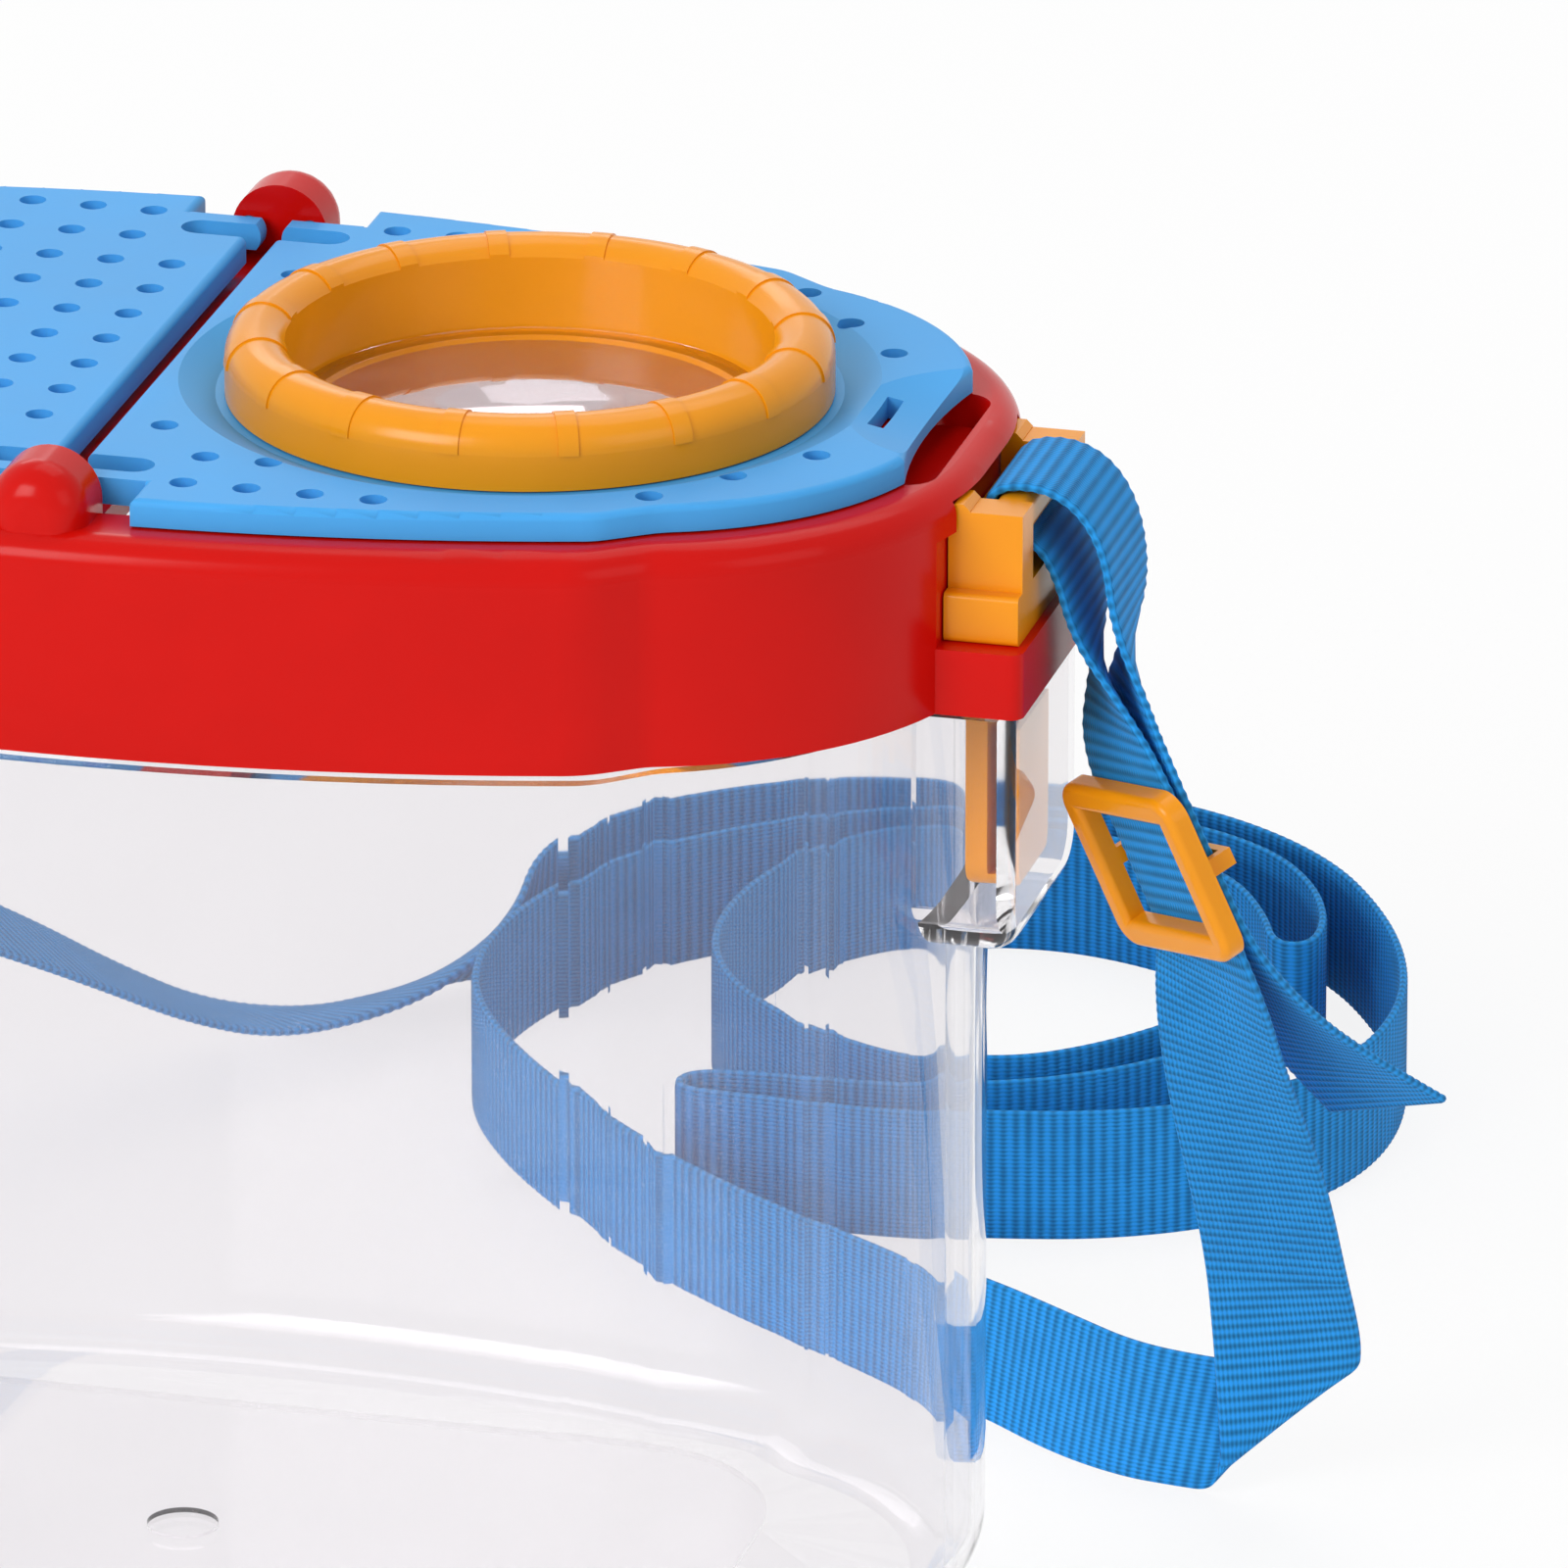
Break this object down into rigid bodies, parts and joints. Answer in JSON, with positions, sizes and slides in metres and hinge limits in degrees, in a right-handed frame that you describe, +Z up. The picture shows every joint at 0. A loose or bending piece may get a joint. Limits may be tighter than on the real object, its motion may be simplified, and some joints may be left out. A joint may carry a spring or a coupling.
{
  "type": "bug catcher jar",
  "caption": "Clear insect collecting jar with a push-fit lid frame, hinged perforated doors, a twist-out magnifier and a carrying strap on end clips.",
  "frame": {"origin": "middle of the jar's footprint on the table, measured without the strap", "axes": "+X to the right along the length, to the end with the magnifier door; +Y to the back; +Z up"},
  "size_m": [0.2465, 0.2661, 0.1472],
  "materials": {
    "clear_plastic": "clear moulded plastic",
    "red_plastic": "gloss",
    "blue_plastic": "satin gloss",
    "yellow_plastic": "gloss",
    "lens": "polished clear",
    "blue_webbing": "ribbed woven webbing"
  },
  "bodies": {
    "jar": {"jar_body": "clear_plastic", "lid_frame": "red_plastic", "left_strap_clip": "yellow_plastic", "right_strap_clip": "yellow_plastic", "strap_right_loop": "blue_webbing", "strap_inner_layer": "blue_webbing", "strap_outer_layer": "blue_webbing", "strap_tail": "blue_webbing", "strap_hanging": "blue_webbing", "strap_fold": "blue_webbing", "strap_floor_front": "blue_webbing", "strap_floor_middle": "blue_webbing", "strap_floor_back": "blue_webbing", "strap_floor_left": "blue_webbing", "strap_left_climb": "blue_webbing", "strap_left_loop": "blue_webbing", "strap_slider": "yellow_plastic"},
    "door_left": {"left_door": "blue_plastic"},
    "door_right": {"right_door": "blue_plastic"},
    "magnifier": {"magnifier_ring": "yellow_plastic", "magnifier_lens": "lens"}
  },
  "joints": [
    {"name": "left_door_hinge", "type": "hinge", "parent": "jar", "child": "door_left", "pos_m": [-0.0035, 0, 0.1395], "axis": [0, 1, 0], "range_deg": [0, 75]},
    {"name": "right_door_hinge", "type": "hinge", "parent": "jar", "child": "door_right", "pos_m": [0.0035, 0, 0.1395], "axis": [0, -1, 0], "range_deg": [0, 75]},
    {"name": "magnifier_twist", "type": "hinge", "parent": "door_right", "child": "magnifier", "pos_m": [0.0407, 0, 0.1395], "axis": [0, 0, 1], "range_deg": [0, 60]}
  ]
}
